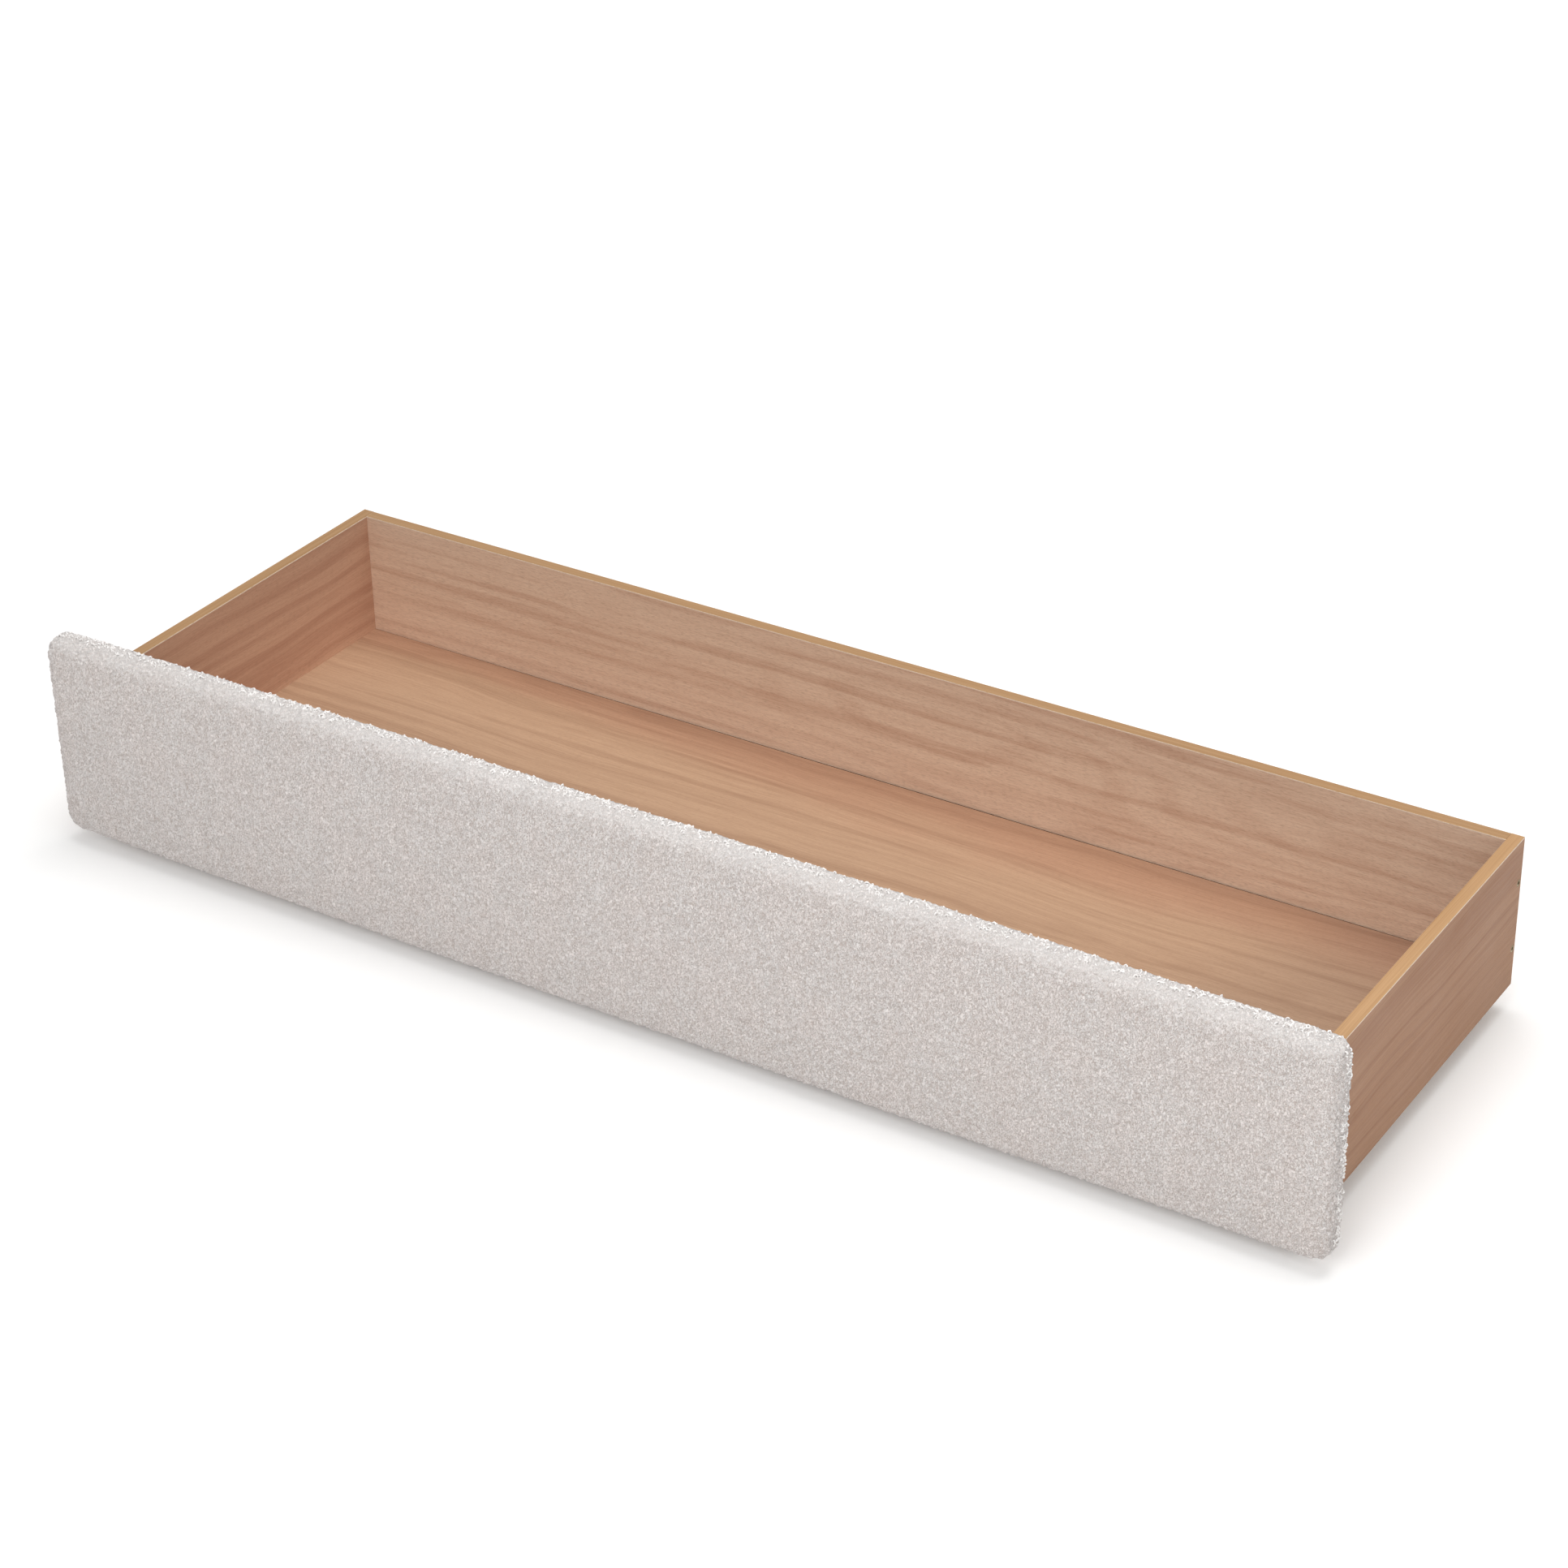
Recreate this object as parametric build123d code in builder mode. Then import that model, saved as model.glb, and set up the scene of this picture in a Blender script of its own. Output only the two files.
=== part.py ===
from build123d import *
import os

# Under bed box: a wide chipboard drawer on four fixed castors, with a padded, fabric covered front.
# Millimetres. X runs along the front, +Y from the front to the back, +Z up.
# The origin is on the floor, under the centre of the whole object.

# ---------------------------------------------------------------- driving dimensions
board = 16.0  # melamine faced chipboard
box_width = 1612.0
box_depth = 530.0  # from the back of the padded front to the rear face
side_height = 192.0
foot_gap = 32.0  # floor to the side panels' lower edge
bottom_rise = 12.0  # side panels' lower edge to the underside of the bottom panel
band = 0.6  # edge band on the panels' top edges
rear_gap = (0.3, 1.2)  # play between bottom and back panel, at the left and the right end
chip = 1.6  # knocked-off corner at the top of the right side panel's rear end

front_width = 1690.0
front_height = 260.0
front_depth = 37.4
front_drop = 13.0  # how far the front hangs below the side panels
front_corner = 18.0  # radius of the front's four corners
front_edge = 15.0  # radius of the padded edges
back_edge = 4.0  # radius of the edges on the back of the front
cover_wall = 2.8
lining_wall = 0.6
turn_wall = 2.0  # thickness of the cover where it is turned over the board's back
turn_width = 55.0
lining_inset = 8.0

# ---------------------------------------------------------------- fasteners
bite = 0.05  # radial play between a fastener and its hole
confirmat_head = 4.8  # radius
confirmat_head_height = 3.0
confirmat_neck = 3.5
confirmat_neck_end = 14.0
confirmat_core = 3.2
confirmat_length = 50.0
confirmat_socket = 2.3
confirmat_web = 0.5  # what is left below the socket
confirmat_bevel = 0.4
confirmat_heights = (50.0, 136.0)  # above the side panels' lower edge
rear_screw_inset = 6.5  # from the rear face
front_screw_inset = board / 2
bottom_screw_x = (-640.0, -320.0, 0.0, 320.0, 640.0)

pan_head = 4.0  # radius
pan_height = 2.4
pan_flat = 2.0  # radius of the flat on top of the head
pan_dome = 2.88  # radius of the head's rounded side
pan_slot = 0.8
pan_shank = 2.0
front_screw_length = 29.0
front_screw_x = (-700.0, -235.0, 235.0, 700.0)
front_screw_z = (100.0, 190.0)
castor_screw_length = 14.0

dowel_radius = 4.0
dowel_length = 30.0
dowel_bevel = 0.8
dowel_in_side = 10.0
dowel_y = (-150.0, 18.0, 190.0)

staple_crown = 10.0
staple_leg = 8.0
staple_wire = 0.7
staple_flat = 0.5
staple_pitch = 80.0
lining_staple_inset = 3.2  # from the lining's edge
cover_staple_inset = 46.0  # from the front's edge

# ---------------------------------------------------------------- castors
castor_x = 740.0
castor_front_y = -170.0
castor_rear_y = 206.0
wheel_radius = 19.0
wheel_half = 7.0
web_half = 2.0  # half the thickness of the wheel's disc
hub_proud = 0.3  # the hub beyond the wheel's side
hub_wall = 2.5
rim_wall = 2.5
rim_recess = 0.5
taper = 1.0  # how much thicker the hub and the rim are at the disc
tread_wall = 3.5
axle_radius = 2.5
axle_play = 0.05  # running clearance in the wheel's bore
rivet_radius = 4.0
rivet_height = 1.2
fork_wall = 1.5
fork_gap = 8.0  # half the distance between the cheeks
fork_foot = 7.0  # radius of the cheeks' lower end
fork_top_half = 16.0  # half the cheeks' length at the plate
plate_size = (40.0, 46.0)
plate_corner = 4.0
plate_pitch = (28.0, 36.0)

# ---------------------------------------------------------------- derived places
y_front = -(box_depth + front_depth) / 2
y_box = y_front + front_depth
y_rear = y_box + box_depth
y_inner_front = y_box + board
y_inner_back = y_rear - board
x_side = box_width / 2
x_inner = x_side - board
z_side = foot_gap
z_rim = z_side + side_height
z_under = z_side + bottom_rise
z_deck = z_under + board
z_bottom_middle = z_under + board / 2
z_front = z_side - front_drop
z_front_top = z_front + front_height
z_front_middle = z_front + front_height / 2
y_turn = y_box - lining_wall
y_board = y_turn - turn_wall
y_foam = y_board - board
core_width = front_width - 2 * cover_wall
core_height = front_height - 2 * cover_wall
core_corner = front_corner - cover_wall
core_edge = front_edge - cover_wall
panel_height = side_height - band

left, right = (-1, 0, 0), (1, 0, 0)
forward, backward = (0, -1, 0), (0, 1, 0)
up, down = (0, 0, 1), (0, 0, -1)

confirmat_z = [z_side + h for h in confirmat_heights]
corner_screw_y = (y_box + front_screw_inset, y_rear - rear_screw_inset)
castors = {
    "front_left": (-castor_x, castor_front_y),
    "front_right": (castor_x, castor_front_y),
    "rear_left": (-castor_x, castor_rear_y),
    "rear_right": (castor_x, castor_rear_y),
}


def facing(points, normal):
    """Locations at the points, with local Z along the normal and local X level."""
    x_dir = (0, 1, 0) if abs(normal[0]) == 1 else (1, 0, 0)
    return [Plane(origin=p, x_dir=x_dir, z_dir=normal).location for p in points]


def finish(part, name):
    """Label the finished piece and write it to its own file."""
    part.label = name
    export_step(part, f"parts/{name}.step")


os.makedirs("parts", exist_ok=True)

# Where the fasteners go, each list on the face that they are driven into
side_screws_left = facing([(-x_side, y, z) for y in corner_screw_y for z in confirmat_z], left)
side_screws_right = facing([(x_side, y, z) for y in corner_screw_y for z in confirmat_z], right)
bottom_screws_rear = facing([(x, y_rear, z_bottom_middle) for x in bottom_screw_x], backward)
bottom_screws_front = facing([(x, y_box, z_bottom_middle) for x in bottom_screw_x], forward)
front_screw_places = facing(
    [(x, y_inner_front, z) for x in front_screw_x for z in front_screw_z], backward
)
castor_screw_places = facing(
    [
        (x + sx * plate_pitch[0] / 2, y + sy * plate_pitch[1] / 2, z_under - fork_wall)
        for x, y in castors.values()
        for sx in (-1, 1)
        for sy in (-1, 1)
    ],
    down,
)

# ---------------------------------------------------------------- side panels
for name, sign, screws in (("left", -1, side_screws_left), ("right", 1, side_screws_right)):
    inner_normal = (-sign, 0, 0)
    with BuildPart() as side_panel:
        with BuildSketch(Plane.XY.offset(z_side)):
            with Locations((sign * (x_side + x_inner) / 2, (y_box + y_rear) / 2)):
                Rectangle(board, box_depth)
        extrude(amount=panel_height)
        with Locations(*screws):
            CounterBoreHole(confirmat_neck + bite, confirmat_head + bite, confirmat_head_height, board)
        with Locations(*facing([(sign * x_inner, y, z_bottom_middle) for y in dowel_y], inner_normal)):
            Hole(dowel_radius + bite, dowel_in_side)
        if sign > 0:
            top_rear = side_panel.edges().filter_by(Axis.X).group_by(Axis.Z)[-1].sort_by(Axis.Y)[-1]
            chamfer(top_rear, length=chip / 2, length2=chip)
    finish(side_panel.part, f"side_panel_{name}")

    with BuildPart() as side_band:
        with BuildSketch(Plane.XY.offset(z_rim - band)):
            with Locations((sign * (x_side + x_inner) / 2, (y_box + y_rear) / 2)):
                Rectangle(board, box_depth)
        extrude(amount=band)
    finish(side_band.part, f"side_band_{name}")

# ---------------------------------------------------------------- back panel
with BuildPart() as back_panel:
    with BuildSketch(Plane.XY.offset(z_side)):
        with Locations((0, y_rear - board / 2)):
            Rectangle(2 * x_inner, board)
    extrude(amount=panel_height)
    for sign in (-1, 1):
        ends = [(sign * x_inner, corner_screw_y[1], z) for z in confirmat_z]
        with Locations(*facing(ends, (sign, 0, 0))):
            Hole(confirmat_core + bite, confirmat_length - board)
    with Locations(*bottom_screws_rear):
        CounterBoreHole(confirmat_neck + bite, confirmat_head + bite, confirmat_head_height, board)
finish(back_panel.part, "back_panel")

with BuildPart() as back_band:
    with BuildSketch(Plane.XY.offset(z_rim - band)):
        with Locations((0, y_rear - board / 2)):
            Rectangle(2 * x_inner, board)
    extrude(amount=band)
finish(back_band.part, "back_band")

# ---------------------------------------------------------------- inner front panel
with BuildPart() as inner_front_panel:
    with BuildSketch(Plane.XY.offset(z_side)):
        with Locations((0, y_box + board / 2)):
            Rectangle(2 * x_inner, board)
    extrude(amount=panel_height)
    for sign in (-1, 1):
        ends = [(sign * x_inner, corner_screw_y[0], z) for z in confirmat_z]
        with Locations(*facing(ends, (sign, 0, 0))):
            Hole(confirmat_core + bite, confirmat_length - board)
    with Locations(*bottom_screws_front):
        CounterBoreHole(confirmat_neck + bite, confirmat_head + bite, confirmat_head_height, board)
    with Locations(*front_screw_places):
        Hole(pan_shank + bite, board)
finish(inner_front_panel.part, "inner_front_panel")

with BuildPart() as inner_front_band:
    with BuildSketch(Plane.XY.offset(z_rim - band)):
        with Locations((0, y_box + board / 2)):
            Rectangle(2 * x_inner, board)
    extrude(amount=band)
finish(inner_front_band.part, "inner_front_band")

# ---------------------------------------------------------------- bottom panel
with BuildPart() as bottom_panel:
    with BuildSketch(Plane.XY.offset(z_under)):
        with BuildLine():
            Polyline(
                (-x_inner, y_inner_front),
                (x_inner, y_inner_front),
                (x_inner, y_inner_back - rear_gap[1]),
                (-x_inner, y_inner_back - rear_gap[0]),
                close=True,
            )
        make_face()
    extrude(amount=board)
    for sign in (-1, 1):
        ends = [(sign * x_inner, y, z_bottom_middle) for y in dowel_y]
        with Locations(*facing(ends, (sign, 0, 0))):
            Hole(dowel_radius + bite, dowel_length - dowel_in_side)
    for y, normal in ((y_inner_front, forward), (y_inner_back, backward)):
        with Locations(*facing([(x, y, z_bottom_middle) for x in bottom_screw_x], normal)):
            Hole(confirmat_core + bite, confirmat_length - board)
    with Locations(*castor_screw_places):
        Hole(pan_shank + bite, castor_screw_length)
finish(bottom_panel.part, "bottom_panel")

# ---------------------------------------------------------------- screws and dowels
# One screw of each kind stands at the origin, its axis on Z and its tip down.
with BuildPart() as confirmat:
    with BuildSketch(Plane.XZ):
        with BuildLine():
            Polyline(
                (0, 0),
                (confirmat_head, 0),
                (confirmat_head, -confirmat_head_height),
                (confirmat_neck, -confirmat_head_height),
                (confirmat_neck, -confirmat_neck_end),
                (confirmat_core, -confirmat_neck_end),
                (confirmat_core, confirmat_core - confirmat_length),
                (0, -confirmat_length),
                close=True,
            )
        make_face()
    revolve(axis=Axis.Z)
    chamfer(confirmat.edges().group_by(Axis.Z)[-1], length=confirmat_bevel)
    with BuildSketch():
        RegularPolygon(confirmat_socket, 6)
    extrude(amount=confirmat_web - confirmat_head_height, mode=Mode.SUBTRACT)

with BuildPart() as confirmat_screws:
    with Locations(*side_screws_left, *side_screws_right, *bottom_screws_rear, *bottom_screws_front):
        add(confirmat.part)
finish(confirmat_screws.part, "confirmat_screws")


def pan_screw(length):
    """A pan head screw with its head on the plane and its shank below it."""
    with BuildPart() as screw:
        with BuildSketch(Plane.XZ):
            with BuildLine():
                Polyline((pan_head, 0), (pan_shank, 0), (pan_shank, 2 * pan_shank - length), (0, -length))
                Line((0, -length), (0, pan_height))
                Line((0, pan_height), (pan_flat, pan_height))
                RadiusArc((pan_flat, pan_height), (pan_head, 0), pan_dome)
            make_face()
        revolve(axis=Axis.Z)
        with BuildSketch(Plane.XY.offset(pan_height)):
            Rectangle(pan_head, pan_slot)
            Rectangle(pan_slot, pan_head)
        extrude(amount=-pan_height / 2, mode=Mode.SUBTRACT)
    return screw.part


front_screw = pan_screw(front_screw_length)
with BuildPart() as front_screws:
    with Locations(*front_screw_places):
        add(front_screw)
finish(front_screws.part, "front_screws")

castor_screw = pan_screw(castor_screw_length)
with BuildPart() as castor_screws:
    with Locations(*castor_screw_places):
        add(castor_screw)
finish(castor_screws.part, "castor_screws")

with BuildPart() as bottom_dowels:
    for sign in (-1, 1):
        middle = sign * (x_inner + dowel_in_side - dowel_length / 2)
        with Locations(*facing([(middle, y, z_bottom_middle) for y in dowel_y], (sign, 0, 0))):
            Cylinder(dowel_radius, dowel_length)
    chamfer(bottom_dowels.edges().filter_by(GeomType.CIRCLE), length=dowel_bevel)
finish(bottom_dowels.part, "bottom_dowels")

# ---------------------------------------------------------------- padded front
# The board and its foam together fill the cover; this solid is both of them in one.
with BuildPart() as core:
    with BuildSketch(Plane(origin=(0, y_board, z_front_middle), x_dir=right, z_dir=forward)):
        RectangleRounded(core_width, core_height, core_corner)
    extrude(amount=y_board - y_front - cover_wall)
    fillet(core.faces().sort_by(Axis.Y)[0].edges(), radius=core_edge)

with BuildPart() as front_board:
    with BuildSketch(Plane(origin=(0, y_board, z_front_middle), x_dir=right, z_dir=forward)):
        RectangleRounded(core_width, core_height, core_corner)
    extrude(amount=board)
    with Locations(*facing([(x, y_board, z) for x in front_screw_x for z in front_screw_z], backward)):
        Hole(pan_shank + bite, front_screw_length - board - lining_wall - turn_wall)
finish(front_board.part, "front_board")

with BuildPart() as front_foam:
    add(core.part)
    split(bisect_by=Plane(origin=(0, y_foam, 0), z_dir=forward), keep=Keep.TOP)
finish(front_foam.part, "front_foam")

with BuildPart() as front_cover:
    with BuildSketch(Plane(origin=(0, y_turn, z_front_middle), x_dir=right, z_dir=forward)):
        RectangleRounded(front_width, front_height, front_corner)
    extrude(amount=y_turn - y_front)
    fillet(front_cover.faces().sort_by(Axis.Y)[0].edges(), radius=front_edge)
    fillet(front_cover.faces().sort_by(Axis.Y)[-1].edges(), radius=back_edge)
    add(core.part, mode=Mode.SUBTRACT)
    with BuildSketch(Plane(origin=(0, y_turn, z_front_middle), x_dir=right, z_dir=forward)):
        RectangleRounded(front_width - 2 * turn_width, front_height - 2 * turn_width, front_corner)
    extrude(amount=turn_wall, mode=Mode.SUBTRACT)
finish(front_cover.part, "front_cover")

with BuildPart() as front_lining:
    with BuildSketch(Plane(origin=(0, y_box, z_front_middle), x_dir=right, z_dir=forward)):
        RectangleRounded(
            front_width - 2 * lining_inset, front_height - 2 * lining_inset, front_corner - lining_inset
        )
        with Locations(*[(x, z - z_front_middle) for x in front_screw_x for z in front_screw_z]):
            Circle(pan_shank + bite, mode=Mode.SUBTRACT)
    extrude(amount=lining_wall)
finish(front_lining.part, "front_lining")

# ---------------------------------------------------------------- staples
with BuildPart() as staple:
    with Locations((0, 0, staple_flat / 2)):
        Box(staple_crown, staple_wire, staple_flat)
    for side in (-1, 1):
        with Locations((side * (staple_crown - staple_wire) / 2, 0, -staple_leg / 2)):
            Box(staple_wire, staple_wire, staple_leg)


def staple_ring(inset, y):
    """Evenly spaced staples along all four edges of the front, their crowns along the edge."""
    half_x = front_width / 2 - inset
    half_z = front_height / 2 - inset
    across = round(2 * half_x / staple_pitch)
    upright = max(2, round(2 * half_z / staple_pitch))
    xs = [-half_x + (i + 0.5) * 2 * half_x / across for i in range(across)]
    zs = [-half_z + (i + 0.5) * 2 * half_z / upright for i in range(upright)]
    level = [(x, y, z_front_middle + side * half_z) for x in xs for side in (-1, 1)]
    standing = [(side * half_x, y, z_front_middle + z) for z in zs for side in (-1, 1)]
    places = [Plane(origin=p, x_dir=right, z_dir=backward).location for p in level]
    return places + [Plane(origin=p, x_dir=up, z_dir=backward).location for p in standing]


with BuildPart() as lining_staples:
    with Locations(*staple_ring(lining_inset + lining_staple_inset, y_box)):
        add(staple.part)
finish(lining_staples.part, "lining_staples")

with BuildPart() as cover_staples:
    with Locations(*staple_ring(cover_staple_inset, y_turn - staple_flat)):
        add(staple.part)
finish(cover_staples.part, "cover_staples")

# ---------------------------------------------------------------- castors
bore = axle_radius + axle_play
rim = wheel_radius - tread_wall
hub_half = wheel_half + hub_proud
rim_half = wheel_half - rim_recess

for name, (x, y) in castors.items():
    axle_point = (x, y, wheel_radius)
    across = Plane(origin=axle_point, x_dir=backward, z_dir=right)

    with BuildPart() as fork:
        with BuildSketch(Plane(origin=(x, y, z_under), x_dir=right, z_dir=down)):
            RectangleRounded(*plate_size, plate_corner)
            with GridLocations(*plate_pitch, 2, 2):
                Circle(pan_shank + bite, mode=Mode.SUBTRACT)
        extrude(amount=fork_wall)
        cheek_top = z_under - fork_wall - wheel_radius
        for inner, outer in ((fork_gap, fork_gap + fork_wall), (-fork_gap - fork_wall, -fork_gap)):
            with BuildSketch(across.offset(inner)):
                with BuildLine():
                    Polyline(
                        (fork_foot, 0),
                        (fork_top_half, cheek_top),
                        (-fork_top_half, cheek_top),
                        (-fork_foot, 0),
                    )
                    ThreePointArc((-fork_foot, 0), (0, -fork_foot), (fork_foot, 0))
                make_face()
                Circle(axle_radius, mode=Mode.SUBTRACT)
            extrude(amount=outer - inner)
    finish(fork.part, f"castor_fork_{name}")

    with BuildPart() as axle:
        with BuildSketch(across.offset(-fork_gap - fork_wall)):
            Circle(axle_radius)
        extrude(amount=2 * (fork_gap + fork_wall))
        for side in (-1, 1):
            with BuildSketch(across.offset(side * (fork_gap + fork_wall))):
                Circle(rivet_radius)
            extrude(amount=side * rivet_height)
        chamfer(
            axle.faces().filter_by(Axis.X).sort_by(Axis.X)[0].edges()
            + axle.faces().filter_by(Axis.X).sort_by(Axis.X)[-1].edges(),
            length=rivet_height / 2,
        )
    finish(axle.part, f"castor_axle_{name}")

    with BuildPart() as wheel:
        with BuildSketch(Plane(origin=axle_point, x_dir=right, z_dir=forward)):
            with BuildLine():
                Polyline(
                    (-hub_half, bore),
                    (-hub_half, bore + hub_wall),
                    (-web_half, bore + hub_wall + taper),
                    (-web_half, rim - rim_wall - taper),
                    (-rim_half, rim - rim_wall),
                    (-rim_half, rim),
                    (rim_half, rim),
                    (rim_half, rim - rim_wall),
                    (web_half, rim - rim_wall - taper),
                    (web_half, bore + hub_wall + taper),
                    (hub_half, bore + hub_wall),
                    (hub_half, bore),
                    close=True,
                )
            make_face()
        revolve(axis=Axis(axle_point, right))
    finish(wheel.part, f"castor_wheel_{name}")

    with BuildPart() as tread:
        with BuildSketch(across.offset(-wheel_half)):
            Circle(wheel_radius)
            Circle(rim, mode=Mode.SUBTRACT)
        extrude(amount=2 * wheel_half)
        fillet(tread.edges().filter_by(GeomType.CIRCLE).sort_by(SortBy.RADIUS)[-2:], radius=tread_wall / 2)
    finish(tread.part, f"castor_tread_{name}")
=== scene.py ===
"""Looks for the under bed box: beech decor boards, honey edge bands, a padded boucle front, hardware."""

import math

import bmesh
import bpy
import numpy as np
from bpy.props import FloatProperty, FloatVectorProperty, IntProperty, PointerProperty
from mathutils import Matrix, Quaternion, Vector


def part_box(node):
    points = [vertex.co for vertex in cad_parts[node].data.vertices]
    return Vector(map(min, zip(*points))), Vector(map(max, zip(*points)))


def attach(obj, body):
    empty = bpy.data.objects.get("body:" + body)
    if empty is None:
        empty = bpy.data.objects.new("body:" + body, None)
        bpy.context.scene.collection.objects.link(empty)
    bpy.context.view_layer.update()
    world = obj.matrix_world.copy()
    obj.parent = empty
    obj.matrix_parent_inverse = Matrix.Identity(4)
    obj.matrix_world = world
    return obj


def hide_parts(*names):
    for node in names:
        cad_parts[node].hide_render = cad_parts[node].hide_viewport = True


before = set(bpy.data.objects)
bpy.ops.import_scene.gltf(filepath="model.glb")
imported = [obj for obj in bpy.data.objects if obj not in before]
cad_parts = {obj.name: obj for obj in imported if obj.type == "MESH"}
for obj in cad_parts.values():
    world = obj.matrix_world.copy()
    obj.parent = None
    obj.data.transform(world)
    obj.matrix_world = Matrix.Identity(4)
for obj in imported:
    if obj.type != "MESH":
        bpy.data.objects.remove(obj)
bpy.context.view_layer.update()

bl_info = {
    "name": "Under Bed Box",
    "version": (1, 0, 0),
    "blender": (4, 5, 0),
    "location": "View3D > Sidebar > Under Bed Box",
    "description": "Builds the looks of a castored under bed box with a padded front",
    "category": "Object",
}

BODY = "box"
CASTORS = ("front_left", "front_right", "rear_left", "rear_right")
BOARDS = ("side_panel_left", "side_panel_right", "back_panel", "inner_front_panel", "bottom_panel")
BANDS = ("side_band_left", "side_band_right", "back_band", "inner_front_band")


def colour(name, about, value):
    return FloatVectorProperty(
        name=name, description=about, subtype="COLOR", size=3, min=0.0, max=1.0, default=value
    )


def length(name, about, value):
    return FloatProperty(name=name, description=about, unit="LENGTH", default=value)


def factor(name, about, value, top=10.0):
    return FloatProperty(name=name, description=about, min=0.0, max=top, default=value)


# ---------------------------------------------------------------- settings


class BoardSettings(bpy.types.PropertyGroup):
    back_light: colour("Back light", "Pale tone of the back and inner front boards", (0.741, 0.556, 0.420))
    back_dark: colour("Back dark", "Streaks of the back and inner front boards", (0.566, 0.372, 0.266))
    left_light: colour("Left light", "Pale tone of the left side board", (0.580, 0.356, 0.242))
    left_dark: colour("Left dark", "Reddish streaks of the left side board", (0.437, 0.237, 0.157))
    # The right side board's tones are a darker copy of the left board's decor: painted shade for the dimmer
    # light on its outer face.
    right_light: colour("Right light", "Pale tone of the right side board", (0.385, 0.214, 0.125))
    right_dark: colour("Right dark", "Reddish streaks of the right side board", (0.300, 0.150, 0.083))
    floor_light: colour("Floor light", "Pale tone of the bottom board", (0.530, 0.342, 0.220))
    floor_dark: colour("Floor dark", "Streaks of the bottom board", (0.365, 0.215, 0.132))
    # right_end_shadow: painted shadow of the right side board over the bottom's right end, strongest near
    # the back
    right_end_shadow: colour("Dusk", "Greyish tone of the bottom's right end", (0.80, 0.81, 0.84))
    # flush: painted shade beside the bottom's rear joint, tinted reddish as if by light bounced off the
    # back board
    flush: colour("Flush", "Reddish brown tone of the bottom beside its rear joint", (0.98, 0.90, 0.90))
    pore: colour("Pores", "Fine dark dashes printed in the decor", (0.25, 0.14, 0.09))
    chip: colour("Chips", "Raw chipboard on uncovered edges", (0.54, 0.37, 0.23))
    paper: colour("Paper", "Pale cut edge of the decor paper", (0.70, 0.56, 0.46))
    paper_width: length("Paper width", "Height of the pale cut line under the bands", 0.0006)
    joint: colour("Joint", "Shadowed gap between the bottom and the back", (0.04, 0.025, 0.018))
    joint_width: length("Joint width", "Widest stretch of the shadowed gap", 0.0016)
    skin: length("Skin", "Depth in which a face counts as a board's outermost", 0.00015)
    rear_chips: length("Rear chips", "Raw strip along the bottom's rear edge", 0.002)


class BandSettings(bpy.types.PropertyGroup):
    light: colour("Light", "Honey tone of the edge bands", (0.46, 0.275, 0.138))
    dark: colour("Dark", "Darker grain of the edge bands", (0.35, 0.19, 0.080))
    cut: colour("Cut", "Pale core on the trimmed edges", (0.62, 0.50, 0.38))
    right_gain: factor("Right gain", "How much brighter the right band is than the others", 1.18)
    bevel: length("Bevel", "Width of the trimmed edges", 0.0004)
    trimmed: factor("Trimmed", "Share of the band's thickness that the bevel takes off", 0.85)
    step: length("Step", "Length of one stretch of the band's mesh", 0.05)


class FrontSettings(bpy.types.PropertyGroup):
    tip: colour("Tips", "Colour of the pile's curly tips", (0.845, 0.79, 0.765))
    # gap: painted shade between the curls, which the pile's depth ramps into
    gap: colour("Gaps", "Colour between the curls", (0.44, 0.375, 0.345))
    blush: colour("Blush", "Pinkish beige yarns in the pile", (0.69, 0.58, 0.54))
    cool: colour("Cool", "Cool grey patches in the pile", (0.71, 0.69, 0.68))
    # painted_highlight: painted highlight where the pile faces up, and on the loose curls
    painted_highlight: colour("Crest", "Paler yarn where the pile faces up", (0.87, 0.845, 0.825))
    loop: length("Loop", "Width of one curl", 0.0027)
    clump: length("Clump", "Width of a clump of curls", 0.0062)
    pile: length("Pile", "Height of the curls", 0.0020)
    fuzz: length("Fuzz", "Extra height of the clumps on the padded edges", 0.0016)
    yarn: length("Yarn", "Thickness of the yarn in the loose curls", 0.0013)
    voxel: length("Voxel", "Mesh size while the padding swells", 0.006)
    pressure: factor("Pressure", "Pressure of the padding", 4.0)
    slack: length("Slack", "How far the padding starts behind its front plane", 0.003)
    swell: length("Swell", "Most that the padding may swell", 0.0035)
    sink: length("Sink", "Most that the padding may sink in at its edges", 0.0006)
    inset: length("Inset", "How far the foam stays behind its cover", 0.0025)
    crown: length("Crown", "Rise of the long edges at their middle", 0.0035)
    corner: length("Corner", "Radius of the four corners", 0.018)
    edge: length("Edge", "Radius of the padded edges", 0.016)
    back_edge: length("Back edge", "Radius of the edges on the back", 0.0015)
    foam_edge: length("Foam edge", "Radius of the foam's edges on the board", 0.0005)
    overlap: length("Overlap", "How far the padding passes its back plane before it is pressed flat", 0.004)
    margin: length("Margin", "How far the fine mesh stays off the back", 0.002)
    frames: IntProperty(name="Frames", description="Steps of the cloth simulation", min=2, default=20)
    ease: IntProperty(name="Ease", description="Smoothing rounds after the swelling is capped", default=24)
    fringe: factor("Fringe", "Loose curls on each square metre of the padded edges", 45000.0, 500000.0)
    seed: IntProperty(name="Seed", description="Random seed of the loose curls", default=7)


class LiningSettings(bpy.types.PropertyGroup):
    pitch: length("Pitch", "Spacing of the cloth's mesh", 0.008)
    lift: length("Lift", "Gap between the cloth and the cover behind it", 0.0001)
    wall: length("Thickness", "Thickness of the cloth", 0.0004)


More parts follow.
